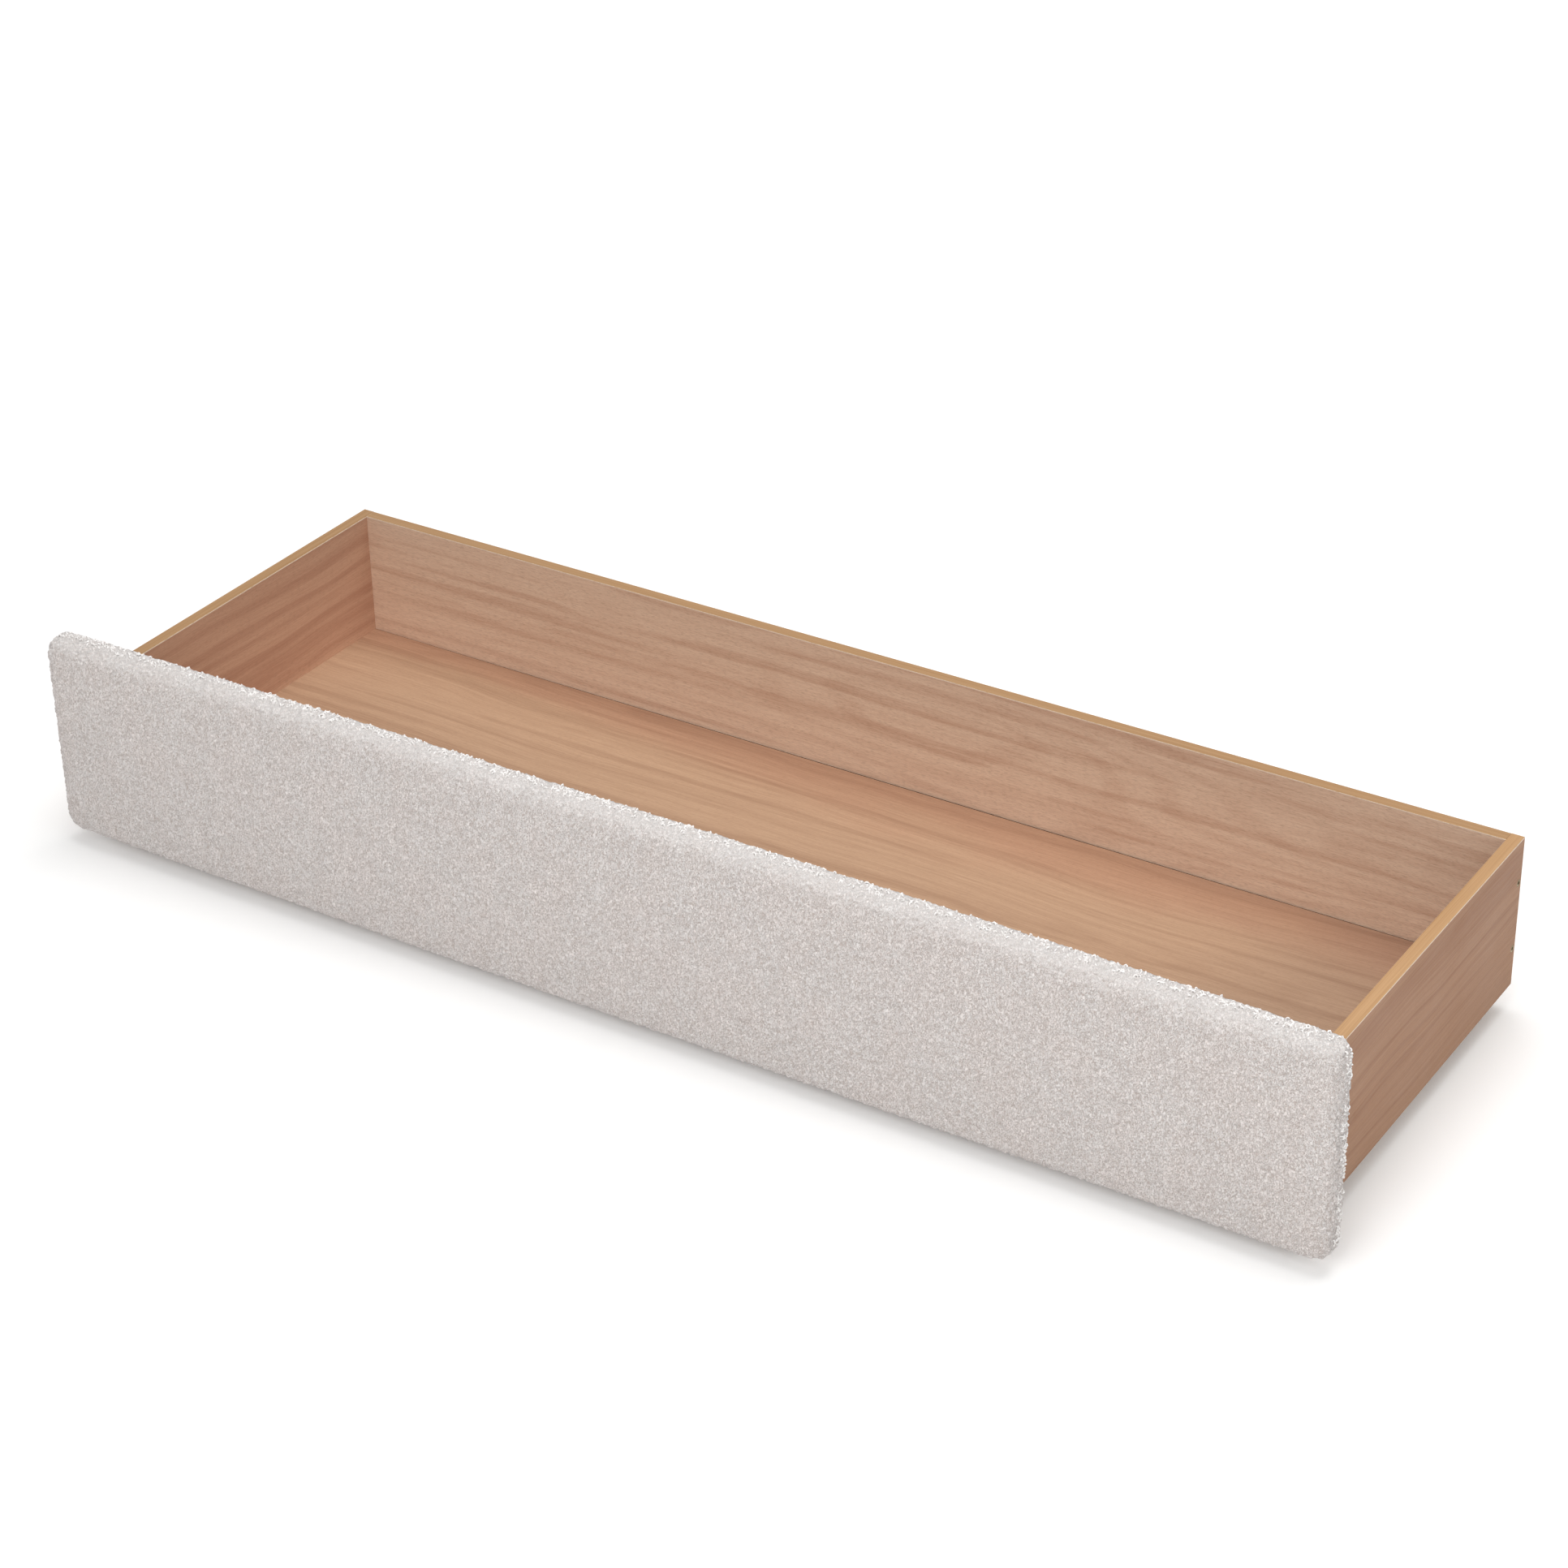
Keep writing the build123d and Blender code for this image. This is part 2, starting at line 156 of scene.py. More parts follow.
class StageSettings(bpy.types.PropertyGroup):
    azimuth: FloatProperty(name="Azimuth", description="View angle round the object", default=33.146)
    elevation: FloatProperty(name="Elevation", description="View angle above the horizon", default=30.218)
    roll: FloatProperty(name="Roll", description="Tilt of the camera about its axis", default=-1.165)
    distance: length("Distance", "From the target to the camera", 4.3293)
    lens: FloatProperty(name="Lens", description="Focal length on a 36 mm sensor", default=84.664)
    target: FloatVectorProperty(
        name="Target",
        description="Point that the camera looks at",
        size=3,
        default=(-0.0296, 0.0804, 0.1433),
    )
    floor: colour("Floor", "Studio floor", (0.93, 0.93, 0.925))
    world: factor("World", "Strength of the soft surround", 0.38)
    key: factor("Key", "Power of the soft light above the front, in watts", 38.0, 2000.0)
    side: factor("Side", "Power of the soft light to the right of the front, in watts", 22.0, 2000.0)
    right: factor("Right", "Power of the soft light beyond the right side, in watts", 12.0, 2000.0)
    top: factor("Top", "Power of the soft light overhead, in watts", 85.0, 2000.0)
    glow: factor("Glow", "How bright the floor stays far from the object", 0.75)
    reach: length("Reach", "Half the width of the floor", 60.0)


class UnderBedBoxSettings(bpy.types.PropertyGroup):
    board: PointerProperty(type=BoardSettings, name="Boards")
    band: PointerProperty(type=BandSettings, name="Edge bands")
    front: PointerProperty(type=FrontSettings, name="Padded front")
    lining: PointerProperty(type=LiningSettings, name="Lining")
    stage: PointerProperty(type=StageSettings, name="Stage")


# ---------------------------------------------------------------- node helpers


def add(tree, kind, inputs=None, **settings):
    """A new node with its settings, and its inputs, by name or number, set or linked."""
    made = tree.nodes.new(kind)
    for key, value in settings.items():
        setattr(made, key, value)
    for key, value in (inputs or {}).items():
        if isinstance(value, bpy.types.NodeSocket):
            tree.links.new(value, made.inputs[key])
        else:
            made.inputs[key].default_value = value
    return made


def maths(tree, operation, a, b=0.0, clamp=False):
    return add(tree, "ShaderNodeMath", {0: a, 1: b}, operation=operation, use_clamp=clamp).outputs[0]


def plus(tree, a, b, clamp=False):
    return maths(tree, "ADD", a, b, clamp)


def minus(tree, a, b):
    return maths(tree, "SUBTRACT", a, b)


def times(tree, a, b, clamp=False):
    return maths(tree, "MULTIPLY", a, b, clamp)


def split(tree, vector):
    """The three parts of a vector."""
    return add(tree, "ShaderNodeSeparateXYZ", {0: vector}).outputs


def joined(tree, x=0.0, y=0.0, z=0.0):
    return add(tree, "ShaderNodeCombineXYZ", {0: x, 1: y, 2: z}).outputs[0]


def shifted(tree, vector, by):
    return add(tree, "ShaderNodeVectorMath", {0: vector, 1: by}, operation="ADD").outputs[0]


def grey(tree, value):
    return add(tree, "ShaderNodeCombineColor", {0: value, 1: value, 2: value}).outputs[0]


def stored_value(tree, name):
    return add(tree, "ShaderNodeAttribute", attribute_name=name).outputs["Fac"]


def ramped(tree, value, low, high, to_low=0.0, to_high=1.0, smooth=False):
    kind = "SMOOTHSTEP" if smooth else "LINEAR"
    inputs = {0: value, 1: low, 2: high, 3: to_low, 4: to_high}
    return add(tree, "ShaderNodeMapRange", inputs, interpolation_type=kind).outputs[0]


def mixed(tree, amount, a, b, blend="MIX"):
    inputs = {0: amount, 6: a, 7: b}
    return add(tree, "ShaderNodeMix", inputs, data_type="RGBA", blend_type=blend).outputs[2]


def stretched(tree, vector, scale):
    return add(tree, "ShaderNodeVectorMath", {0: vector, 1: scale}, operation="MULTIPLY").outputs[0]


def noise(tree, vector, scale=1.0, detail=2.0, roughness=0.5, distortion=0.0):
    inputs = {"Vector": vector, "Scale": scale, "Detail": detail, "Roughness": roughness}
    return add(tree, "ShaderNodeTexNoise", {**inputs, "Distortion": distortion}).outputs[0]


def voronoi(tree, vector, scale, feature="F1", randomness=1.0):
    inputs = {"Vector": vector, "Scale": scale, "Randomness": randomness}
    return add(tree, "ShaderNodeTexVoronoi", inputs, feature=feature)


def shader_group(name, inputs, outputs):
    """An empty shader group with its sockets; returns the tree, its entry's outputs and its exit node."""
    tree = bpy.data.node_groups.new(name, "ShaderNodeTree")
    kinds = {"f": "NodeSocketFloat", "c": "NodeSocketColor", "v": "NodeSocketVector"}
    for labels, way in ((inputs, "INPUT"), (outputs, "OUTPUT")):
        for label, kind in labels.items():
            tree.interface.new_socket(name=label, in_out=way, socket_type=kinds[kind])
    entry = tree.nodes.new("NodeGroupInput")
    return tree, entry.outputs, tree.nodes.new("NodeGroupOutput")


def put_out(tree, leave, values):
    for label, socket in values.items():
        tree.links.new(socket, leave.inputs[label])


def use(tree, group, inputs):
    return add(tree, "ShaderNodeGroup", inputs, node_tree=group).outputs


def rgba(value):
    return (*value, 1.0)


def new_material(name, **constants):
    """A node material; constants go on the Principled BSDF's own sockets."""
    material = bpy.data.materials.new(name)
    material.use_nodes = True
    bsdf = material.node_tree.nodes["Principled BSDF"]
    for label, value in constants.items():
        bsdf.inputs[label.replace("_", " ")].default_value = value
    return material, material.node_tree, bsdf


def places(tree):
    return tree.nodes.new("ShaderNodeTexCoord").outputs["Object"]


def bump(tree, bsdf, height, distance, strength=1.0):
    made = add(tree, "ShaderNodeBump", {"Height": height, "Strength": strength, "Distance": distance})
    tree.links.new(made.outputs[0], bsdf.inputs["Normal"])


# ---------------------------------------------------------------- shared effects


def decor_group():
    """Printed beech along local X: broad streaks, drawn out figure, fine lines and short dense pores."""
    tree, given, leave = shader_group(
        "Beech Decor",
        {"Vector": "v", "Light": "c", "Dark": "c", "Pore Color": "c"}
        | {"Streaks": "f", "Figure": "f", "Pores": "f"},
        {"Color": "c", "Height": "f", "Roughness": "f"},
    )
    at = given["Vector"]
    sway = minus(tree, noise(tree, stretched(tree, at, (2.4, 7, 7)), detail=2.0), 0.5)
    bent = shifted(tree, at, joined(tree, y=times(tree, sway, 0.045)))
    broad = noise(tree, stretched(tree, bent, (0.9, 60, 60)), detail=1.0)
    broad = ramped(tree, broad, 0.47, 0.66, smooth=True)
    narrow = ramped(tree, noise(tree, stretched(tree, bent, (2.2, 130, 130)), detail=1.0), 0.42, 0.70)
    fine = noise(tree, stretched(tree, bent, (8, 480, 480)), detail=2.0, roughness=0.6)
    fine = ramped(tree, fine, 0.32, 0.68)
    hair = ramped(tree, noise(tree, stretched(tree, bent, (20, 1100, 1100)), detail=1.0), 0.34, 0.66)
    contour = noise(tree, stretched(tree, bent, (1.0, 8, 8)), detail=0.0)
    wave = maths(tree, "SINE", times(tree, contour, 120.0))
    where = ramped(tree, noise(tree, stretched(tree, at, (1.1, 5, 5)), detail=1.0), 0.50, 0.60, smooth=True)
    figure = times(tree, ramped(tree, wave, -0.2, 1.0, smooth=True), where)
    pores = ramped(tree, noise(tree, stretched(tree, bent, (150, 1300, 1300)), detail=1.0), 0.50, 0.68)
    streaks = plus(tree, times(tree, broad, 0.50), times(tree, narrow, 0.16))
    lines = plus(tree, times(tree, fine, 0.24), times(tree, hair, 0.34))
    amount = plus(tree, times(tree, streaks, given["Streaks"]), lines)
    amount = plus(tree, amount, times(tree, figure, times(tree, given["Figure"], 0.22)))
    amount = minus(tree, amount, 0.10)
    base = mixed(tree, times(tree, amount, 1.0, clamp=True), given["Light"], given["Dark"])
    dots = times(tree, pores, times(tree, given["Pores"], 0.26), clamp=True)
    put_out(
        tree,
        leave,
        {
            "Color": mixed(tree, dots, base, given["Pore Color"]),
            "Height": minus(tree, times(tree, fine, 0.3), pores),
            "Roughness": ramped(tree, fine, 0.0, 1.0, 0.46, 0.56),
        },
    )
    return tree


def chips_group():
    """Raw chipboard: pressed flakes in mixed tans with darker gaps."""
    tree, given, leave = shader_group(
        "Pressed Chips", {"Vector": "v", "Color": "c"}, {"Color": "c", "Height": "f"}
    )
    flakes = voronoi(tree, stretched(tree, given["Vector"], (420, 420, 700)), 1.0)
    tone = add(tree, "ShaderNodeSeparateColor", {0: flakes.outputs["Color"]}).outputs[0]
    grit = noise(tree, given["Vector"], 1500.0, 2.0)
    light = mixed(tree, ramped(tree, tone, 0.0, 1.0, 0.0, 0.6), given["Color"], (0.70, 0.52, 0.36, 1))
    shade = times(tree, ramped(tree, grit, 0.5, 0.7), 0.7)
    dark = mixed(tree, shade, light, (0.17, 0.10, 0.05, 1))
    put_out(tree, leave, {"Color": dark, "Height": minus(tree, tone, grit)})
    return tree


def wear_group():
    """Handling marks: soft smudges and fine scratches as a mask, and a roughness that follows them."""
    tree, given, leave = shader_group(
        "Handling Wear",
        {"Vector": "v", "Scale": "f", "Low": "f", "High": "f"},
        {"Mask": "f", "Roughness": "f"},
    )
    smudge = noise(tree, given["Vector"], given["Scale"], 4.0, 0.6, 0.4)
    lines = stretched(tree, given["Vector"], (1.0, 14.0, 14.0))
    scratch = ramped(tree, noise(tree, lines, given["Scale"], 2.0), 0.62, 0.72)
    both = plus(tree, ramped(tree, smudge, 0.35, 0.7), times(tree, scratch, 0.4), clamp=True)
    rough = add(tree, "ShaderNodeMix", {0: both, 2: given["Low"], 3: given["High"]}, data_type="FLOAT")
    put_out(tree, leave, {"Mask": both, "Roughness": rough.outputs[0]})
    return tree


def pile_group():
    """Boucle yarn: curly ridges over clumps, warm painted shade in the gaps between the curls, and patches
    of pinkish beige and cool grey.
    """
    tree, given, leave = shader_group(
        "Boucle Yarn",
        {"Vector": "v", "Depth": "f", "Tip": "c", "Gap": "c", "Blush": "c", "Cool": "c", "Curl": "f"},
        {"Color": "c", "Height": "f"},
    )
    at = stretched(tree, given["Vector"], (1.1, 1.1, 0.72))
    swirl = noise(tree, at, given["Curl"], 2.0, 0.5, 0.9)
    ridge = maths(tree, "ABSOLUTE", minus(tree, swirl, 0.5))
    curl = ramped(tree, ridge, 0.0, 0.12, 1.0, 0.0, smooth=True)
    depth = plus(tree, times(tree, given["Depth"], 0.35), times(tree, curl, 0.65))
    patch = ramped(tree, noise(tree, at, 24.0, 2.0, 0.6), 0.35, 0.65, smooth=True)
    stray = ramped(tree, noise(tree, at, 330.0, 2.0, 0.6), 0.48, 0.68)
    warm = times(tree, plus(tree, times(tree, patch, 0.5), stray), 0.32, clamp=True)
    cold = times(tree, minus(tree, 1.0, patch), ramped(tree, stray, 0.0, 0.6, 0.36, 0.08))
    tips = mixed(tree, cold, mixed(tree, warm, given["Tip"], given["Blush"]), given["Cool"])
    # Painted shade: the yarn darkens from its tip colour to the gap colour where the pile sinks between the
    # curls.
    yarn = mixed(tree, ramped(tree, depth, 0.05, 0.55, smooth=True), given["Gap"], tips)
    put_out(tree, leave, {"Color": yarn, "Height": depth})
    return tree


SHARED = {"decor": decor_group, "chips": chips_group, "wear": wear_group, "pile": pile_group}
GROUPS = {}


def shared(name):
    """The shader group of that name, made the first time that it is asked for."""
    if name not in GROUPS:
        GROUPS[name] = SHARED[name]()
    return GROUPS[name]


# ---------------------------------------------------------------- materials


# The right side board takes its own darker tones, a painted shade over the same decor as the left board.
TONES = {"side_panel_left": "left", "side_panel_right": "right", "bottom_panel": "floor"}
# Painted bounce light: the left side and the back are made lighter towards their lower edge.
PAINTED_BOUNCE_GAINS = {"side_panel_left": (1.16, 0.90), "back_panel": (1.08, 0.96)}


def board_material(node, settings, offset):
    """Beech decor on a board's faces, raw chips on its uncovered ends and a pale line under its band;
    painted bounce light on the left side and the back, painted shade on the bottom.
    """
    low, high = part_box(node)
    tone = TONES.get(node, "back")
    side, floor = tone in ("left", "right"), tone == "floor"
    material, tree, bsdf = new_material(f"Board {node}", Specular_IOR_Level=0.2)
    at = places(tree)
    moved = shifted(tree, at, offset)
    if side:
        axes = split(tree, moved)
        moved = joined(tree, axes[1], axes[2], axes[0])
    decor = use(
        tree,
        shared("decor"),
        {
            "Vector": moved,
            "Light": rgba(getattr(settings, tone + "_light")),
            "Dark": rgba(getattr(settings, tone + "_dark")),
            "Pore Color": rgba(settings.pore),
            "Streaks": 0.75 if floor else 1.0,
            "Figure": 0.6 if floor else 1.0,
            "Pores": 0.8 if floor else 1.0,
        },
    )
    chips = use(tree, shared("chips"), {"Vector": at, "Color": rgba(settings.chip)})
    xyz = split(tree, at)
    skin = settings.skin
    raw = maths(tree, "LESS_THAN", xyz[2], low.z + skin)
    if side:
        ends = maths(tree, "GREATER_THAN", xyz[1], high.y - skin)
        ends = maths(tree, "MAXIMUM", ends, maths(tree, "LESS_THAN", xyz[1], low.y + skin))
        raw = maths(tree, "MAXIMUM", raw, ends)
    if floor:
        raw = maths(tree, "LESS_THAN", xyz[2], high.z - skin)
        raw = times(tree, raw, maths(tree, "GREATER_THAN", xyz[1], high.y - settings.rear_chips))
        faces = painted_bottom_shade(tree, decor["Color"], at, xyz, low, high, settings)
    else:
        line = maths(tree, "GREATER_THAN", xyz[2], high.z - settings.paper_width)
        faces = mixed(tree, line, decor["Color"], rgba(settings.paper))
        faces = painted_bounce(tree, faces, xyz[2], low, high, PAINTED_BOUNCE_GAINS.get(node, (1.0, 1.0)))
    tree.links.new(mixed(tree, raw, faces, chips["Color"]), bsdf.inputs["Base Color"])
    wear = use(tree, shared("wear"), {"Vector": at, "Scale": 9.0, "Low": 0.0, "High": 0.10})
    rough = plus(tree, decor["Roughness"], wear["Roughness"])
    rough = maths(tree, "MAXIMUM", rough, times(tree, raw, 0.85))
    tree.links.new(rough, bsdf.inputs["Roughness"])
    coarse = times(tree, times(tree, chips["Height"], raw), 4.0)
    bump(tree, bsdf, plus(tree, decor["Height"], coarse), 0.00006, 0.5)
    return material


def painted_bounce(tree, faces, z, low, high, gains):
    """Painted bounce light: the sheet's tone is multiplied by these gains, running from its lower edge to
    its upper one, lighter low as if lit by light bounced off the bottom.
    """
    gain = ramped(tree, z, low.z, high.z, *gains)
    return mixed(tree, 1.0, faces, grey(tree, gain), "MULTIPLY")


def painted_bottom_shade(tree, faces, at, xyz, low, high, settings):
    """Painted shade on the bottom: a reddish painted shade beside its rear joint, a painted shadow of the
    right side over its right end, and the joint itself painted dark as its shadowed gap.
    """
    along = ramped(tree, xyz[0], low.x, high.x)
    rough = noise(tree, stretched(tree, at, (3.0, 9.0, 9.0)), detail=2.0)
    reach = ramped(tree, along, 0.0, 1.0, 0.055, 0.12)
    reach = times(tree, reach, ramped(tree, rough, 0.3, 0.7, 0.55, 1.45))
    away = minus(tree, high.y, xyz[1])
    # Painted shade: the bottom darkens and reddens towards its rear joint, over a width that grows to the
    # right.
    zone = ramped(tree, maths(tree, "DIVIDE", away, reach), 0.35, 1.1, 1.0, 0.0, smooth=True)
    faces = mixed(tree, zone, faces, rgba(settings.flush), "MULTIPLY")
    # Painted shadow: the bottom's right end darkens towards the right side board, most of all near the
    # back.
    end = plus(tree, along, ramped(tree, rough, 0.3, 0.7, -0.06, 0.06))
    end = ramped(tree, end, 0.72, 0.95, smooth=True)
    end = times(tree, end, ramped(tree, away, 0.05, 0.45, 1.0, 0.45))
    faces = mixed(tree, end, faces, rgba(settings.right_end_shadow), "MULTIPLY")
    width = times(tree, ramped(tree, along, 0.05, 0.5, 0.25, 1.0), settings.joint_width)
    joint = maths(tree, "LESS_THAN", away, width)
    return mixed(tree, joint, faces, rgba(settings.joint))


def band_material(settings, node, along_y, gain):
    """Honey wood grain along a band, with the pale core where the cut attribute marks its trimmed edges."""
    material, tree, bsdf = new_material(f"Band {node}", Specular_IOR_Level=0.35)
    at = places(tree)
    along, across = 7.0, 900.0
    scale = (across, along, across) if along_y else (along, across, across)
    grain = noise(tree, stretched(tree, at, scale), detail=4.0, roughness=0.65)
    broad = noise(tree, stretched(tree, at, tuple(0.3 * k for k in scale)), detail=2.0)
    amount = plus(tree, ramped(tree, grain, 0.35, 0.7, 0.0, 0.6), ramped(tree, broad, 0.35, 0.7, 0.0, 0.5))
    light, dark = (rgba(gain * c for c in tone) for tone in (settings.light, settings.dark))
    honey = mixed(tree, amount, light, dark)
    cut = stored_value(tree, "cut")
    nick = ramped(tree, noise(tree, at, 130.0, 3.0), 0.3, 0.45, 0.35, 1.0)
    worn = times(tree, cut, nick)
    tree.links.new(mixed(tree, worn, honey, rgba(settings.cut)), bsdf.inputs["Base Color"])
    wear = use(tree, shared("wear"), {"Vector": at, "Scale": 30.0, "Low": 0.38, "High": 0.52})
    tree.links.new(wear["Roughness"], bsdf.inputs["Roughness"])
    bump(tree, bsdf, grain, 0.00005, 0.5)
    return material


def boucle_material(settings):
    material, tree, bsdf = new_material(
        "Cream Boucle", Roughness=0.95, Specular_IOR_Level=0.2, Sheen_Weight=0.45, Sheen_Roughness=0.5
    )
    at = places(tree)
    depth = stored_value(tree, "pile")
    yarn = use(
        tree,
        shared("pile"),
        {
            "Vector": at,
            "Depth": depth,
            "Tip": rgba(settings.tip),
            "Gap": rgba(settings.gap),
            "Blush": rgba(settings.blush),
            "Cool": rgba(settings.cool),
            "Curl": 1.2 / settings.loop,
        },
    )
    # Painted highlight: the yarn turns paler where its surface faces up, and fully so on the loose curls,
    # as if lit from above.
    painted_highlight = split(tree, add(tree, "ShaderNodeNewGeometry").outputs["Normal"])[2]
    painted_highlight = ramped(tree, painted_highlight, 0.0, 1.0, 0.0, 0.42, smooth=True)
    loose = stored_value(tree, "loose")
    painted_highlight = maths(tree, "MAXIMUM", painted_highlight, loose)
    tree.links.new(mixed(tree, painted_highlight, yarn["Color"], rgba(settings.painted_highlight)), bsdf.inputs["Base Color"])
    height = times(tree, yarn["Height"], minus(tree, 1.0, loose))
    bump(tree, bsdf, height, 0.0010, 0.9)
    return material


def handled(made, tone, worn, low, high, scale):
    """Adds handling marks in a worn tone to a new material, and returns their mask."""
    _, tree, bsdf = made
    wear = use(tree, shared("wear"), {"Vector": places(tree), "Scale": scale, "Low": low, "High": high})
    tree.links.new(mixed(tree, wear["Mask"], rgba(tone), rgba(worn)), bsdf.inputs["Base Color"])
    tree.links.new(wear["Roughness"], bsdf.inputs["Roughness"])
    return wear["Mask"]


def metal_material(name, tone, stain, low, high):
    """Plated steel with handling marks and a duller, darker bloom."""
    material, tree, bsdf = made = new_material(name, Metallic=1.0)
    bump(tree, bsdf, handled(made, tone, stain, low, high, 220.0), 0.00003, 0.4)
    return material


def moulded_material(name, tone, scuff, low, high, grain=2600.0):
    """Moulded plastic or rubber: fine spark texture, scuffs and dust in the worn places."""
    material, tree, bsdf = made = new_material(name, Specular_IOR_Level=0.4)
    handled(made, tone, scuff, low, high, 180.0)
    bump(tree, bsdf, noise(tree, places(tree), grain, 2.0), 0.00005, 0.5)
    return material


def wood_material(name, tone, dark):
    """Plain turned or sawn beech."""
    material, tree, bsdf = new_material(name, Roughness=0.7)
    at = places(tree)
    grain = noise(tree, stretched(tree, at, (30.0, 600.0, 600.0)), detail=3.0, roughness=0.6)
    tree.links.new(mixed(tree, grain, rgba(tone), rgba(dark)), bsdf.inputs["Base Color"])
    bump(tree, bsdf, grain, 0.0001, 0.5)
    return material


def chipboard_material(settings):
    material, tree, bsdf = new_material("Raw Chipboard", Roughness=0.9)
    chips = use(tree, shared("chips"), {"Vector": places(tree), "Color": rgba(settings.chip)})
    tree.links.new(chips["Color"], bsdf.inputs["Base Color"])
    bump(tree, bsdf, chips["Height"], 0.0003, 0.6)
    return material


def foam_material():
    material, tree, bsdf = new_material("Padding Foam", Roughness=1.0, Subsurface_Weight=0.1)
    cells = voronoi(tree, places(tree), 900.0).outputs["Distance"]
    tone = mixed(tree, cells, (0.80, 0.75, 0.58, 1), (0.62, 0.55, 0.38, 1))
    tree.links.new(tone, bsdf.inputs["Base Color"])
    bump(tree, bsdf, cells, 0.0004, 0.6)
    return material


def lining_material():
    """Black spunbond with its grid of small pressed dots."""
    material, tree, bsdf = new_material(
        "Spunbond Lining", Roughness=0.85, Sheen_Weight=0.3, Sheen_Roughness=0.5
    )
    at = places(tree)
    dots = voronoi(tree, at, 620.0, randomness=0.12).outputs["Distance"]
    pressed = ramped(tree, dots, 0.22, 0.38)
    fibre = noise(tree, at, 1400.0, 3.0, 0.7, 1.0)
    thick = times(tree, pressed, fibre)
    tone = mixed(tree, thick, (0.018, 0.018, 0.020, 1), (0.075, 0.075, 0.08, 1))
    tree.links.new(tone, bsdf.inputs["Base Color"])
    bump(tree, bsdf, plus(tree, pressed, times(tree, fibre, 0.5)), 0.00015, 0.7)
    return material


def dress(node, material):
    """Gives a CAD node its material."""
    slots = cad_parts[node].data.materials
    slots.clear()
    slots.append(material)


# ---------------------------------------------------------------- mesh helpers


def new_piece(name, bm):
    """A mesh object from a bmesh, its normals made consistent first."""
    bmesh.ops.remove_doubles(bm, verts=bm.verts, dist=1e-7)
    bmesh.ops.recalc_face_normals(bm, faces=bm.faces)
    mesh = bpy.data.meshes.new(name)
    bm.to_mesh(mesh)
    bm.free()
    piece = bpy.data.objects.new(name, mesh)
    bpy.context.scene.collection.objects.link(piece)
    return piece


def settle(piece):
    """Replaces the piece's mesh by what its modifiers make of it, and removes them."""
    graph = bpy.context.evaluated_depsgraph_get()
    made = bpy.data.meshes.new_from_object(piece.evaluated_get(graph))
    piece.modifiers.clear()
    old, piece.data = piece.data, made
    made.name = piece.name
    bpy.data.meshes.remove(old)
    return piece


def corners(mesh):
    found = np.empty(len(mesh.vertices) * 3)
    mesh.vertices.foreach_get("co", found)
    return found.reshape(-1, 3)


def finish_piece(piece, nodes, material, smooth=True):
    """The piece rides on the box, stands for its CAD nodes and takes its material."""
    piece.data.materials.clear()
    piece.data.materials.append(material)
    if smooth:
        piece.data.shade_smooth()
    else:
        piece.data.shade_flat()
    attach(piece, BODY)
    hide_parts(*nodes)
    return piece


# ---------------------------------------------------------------- geometry nodes


def geometry_group(name, inputs):
    tree = bpy.data.node_groups.new(name, "GeometryNodeTree")
    tree.interface.new_socket(name="Mesh", in_out="INPUT", socket_type="NodeSocketGeometry")
    for label, kind in inputs.items():
        tree.interface.new_socket(name=label, in_out="INPUT", socket_type=kind)
    tree.interface.new_socket(name="Mesh", in_out="OUTPUT", socket_type="NodeSocketGeometry")
    return tree, tree.nodes.new("NodeGroupInput").outputs, tree.nodes.new("NodeGroupOutput")


def run_nodes(piece, tree, values):
    """Puts the tree on the piece as a modifier, sets its inputs by identifier, and settles the result."""
    modifier = piece.modifiers.new(tree.name, "NODES")
    modifier.node_group = tree
    sockets = {s.name: s.identifier for s in tree.interface.items_tree if s.in_out == "INPUT"}
    for label, value in values.items():
        modifier[sockets[label]] = value
    return settle(piece)


